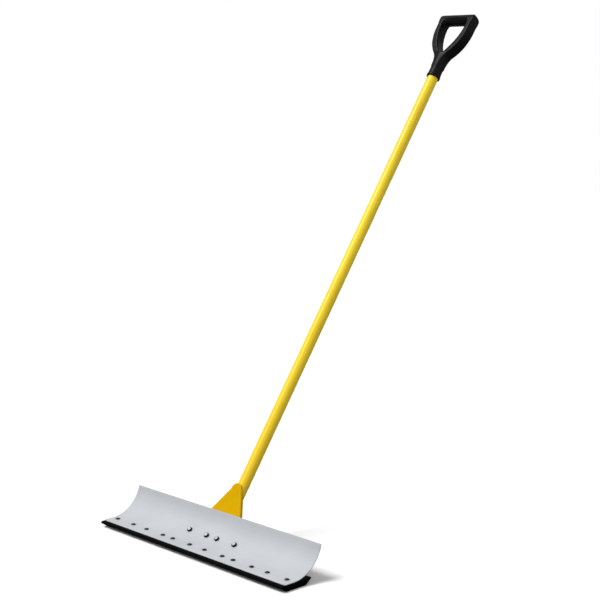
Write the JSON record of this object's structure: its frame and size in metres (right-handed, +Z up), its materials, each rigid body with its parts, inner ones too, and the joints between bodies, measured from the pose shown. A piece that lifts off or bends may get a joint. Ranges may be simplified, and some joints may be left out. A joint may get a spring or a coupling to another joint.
{
  "type": "snow pusher shovel",
  "caption": "Push-type snow shovel: rolled sheet-metal blade on a bevelled plastic wear strip, folded triangular bracket, straight tube handle and moulded D-grip.",
  "frame": {"origin": "centre of the wear strip's flat underside, on the floor", "axes": "+Z up; +X along the blade, to the right as seen from the front; the handle leans back towards +Y"},
  "size_m": [0.61, 0.9211, 1.1888],
  "materials": {
    "blade_sheet": "light grey mill-finish sheet, satin, with bright cut edges",
    "wear_strip_plastic": "black polyethylene, matte",
    "bracket_paint": "yellow-ochre powder coat, semi-gloss",
    "tube_paint": "yellow enamel, glossy",
    "zinc_hardware": "zinc-plated steel",
    "grip_plastic": "black moulded plastic, satin with a fine grain"
  },
  "bodies": {
    "root": {"blade": "blade_sheet", "wear_strip": "wear_strip_plastic", "handle_bracket": "bracket_paint", "strip_screw_1": "zinc_hardware", "strip_screw_2": "zinc_hardware", "strip_screw_3": "zinc_hardware", "strip_screw_4": "zinc_hardware", "strip_screw_5": "zinc_hardware", "strip_screw_6": "zinc_hardware", "strip_screw_7": "zinc_hardware", "strip_screw_8": "zinc_hardware", "strip_screw_9": "zinc_hardware", "strip_screw_10": "zinc_hardware", "strip_screw_11": "zinc_hardware", "strip_screw_12": "zinc_hardware", "bracket_bolt_1": "zinc_hardware", "bracket_bolt_2": "zinc_hardware", "bracket_bolt_3": "zinc_hardware", "bracket_bolt_4": "zinc_hardware", "bracket_washer_1": "zinc_hardware", "bracket_washer_2": "zinc_hardware", "bracket_washer_3": "zinc_hardware", "bracket_washer_4": "zinc_hardware", "bracket_nut_1": "zinc_hardware", "bracket_nut_2": "zinc_hardware", "bracket_nut_3": "zinc_hardware", "bracket_nut_4": "zinc_hardware", "weld_bead_left": "bracket_paint", "weld_bead_right": "bracket_paint", "handle_tube": "tube_paint", "tube_end_plug": "wear_strip_plastic", "d_grip": "grip_plastic", "grip_screw": "zinc_hardware"}
  },
  "joints": []
}
